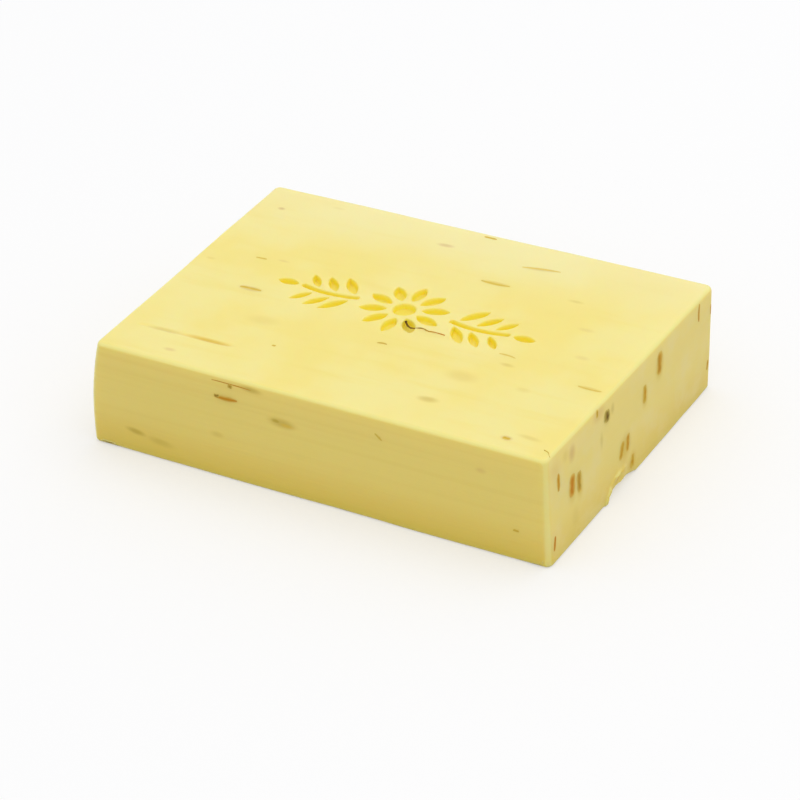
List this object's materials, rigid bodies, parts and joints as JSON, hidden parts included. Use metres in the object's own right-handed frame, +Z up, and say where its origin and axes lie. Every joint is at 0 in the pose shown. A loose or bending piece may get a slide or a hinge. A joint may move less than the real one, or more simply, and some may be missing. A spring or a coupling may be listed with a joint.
{
  "type": "bar of soap",
  "caption": "Hand-cut rectangular bar of soap with flower petals in it and a stamped flower and sprigs on its top.",
  "frame": {"origin": "middle of the bar's base, on the surface that it lies on", "axes": "+X along the bar to its chipped end, +Y across it to the back, +Z up out of the stamped top"},
  "size_m": [0.0986, 0.0684, 0.0223],
  "materials": {
    "soap": "waxy, softly satin, pale yellow, deeper yellow in the stamp",
    "petals": "dry flower petals and threads cast into the soap, brown to orange"
  },
  "bodies": {
    "root": {"soap_bar": "soap"}
  },
  "joints": []
}
